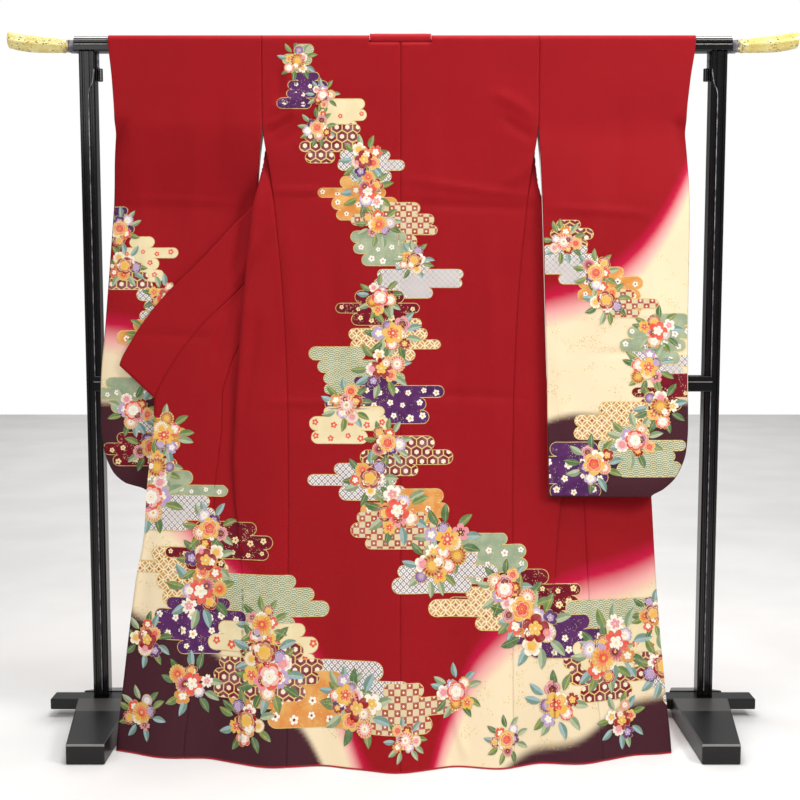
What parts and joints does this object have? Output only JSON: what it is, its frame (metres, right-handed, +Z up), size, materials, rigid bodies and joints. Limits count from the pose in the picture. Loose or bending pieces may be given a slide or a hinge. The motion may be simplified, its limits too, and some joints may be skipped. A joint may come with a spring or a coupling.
{
  "type": "furisode on kimono stand",
  "caption": "Lined long-sleeved furisode spread over the top bar of a black lacquered kimono stand, its back to the front and both front panels swung out.",
  "frame": {"origin": "on the floor, under the middle of the whole part's box", "axes": "+Z up, +X towards the right end of the stand seen from the garment's back, -Y the way the garment's back faces"},
  "size_m": [1.7928, 0.4842, 1.5857],
  "materials": {
    "silk": "dyed silk crepe with a soft sheen",
    "lacquer": "black lacquer over wood",
    "gilding": "pale gilding with chased marks",
    "grey_metal": "dull grey plate"
  },
  "bodies": {
    "root": {"body_left": "silk", "body_right": "silk", "okumi_left": "silk", "okumi_right": "silk", "sleeve_left": "silk", "sleeve_right": "silk", "collar_left": "silk", "collar_right": "silk", "over_collar": "silk", "top_bar": "lacquer", "middle_bar": "lacquer", "post_left": "lacquer", "post_right": "lacquer", "knob_left": "lacquer", "knob_right": "lacquer", "foot_front_left": "lacquer", "foot_front_right": "lacquer", "foot_cross_left": "lacquer", "foot_cross_right": "lacquer", "foot_rear_left": "lacquer", "foot_rear_right": "lacquer", "bar_end_left": "gilding", "bar_end_right": "gilding", "bar_collar_left": "grey_metal", "bar_collar_right": "grey_metal", "rod_left": "grey_metal", "rod_right": "grey_metal"}
  },
  "joints": []
}
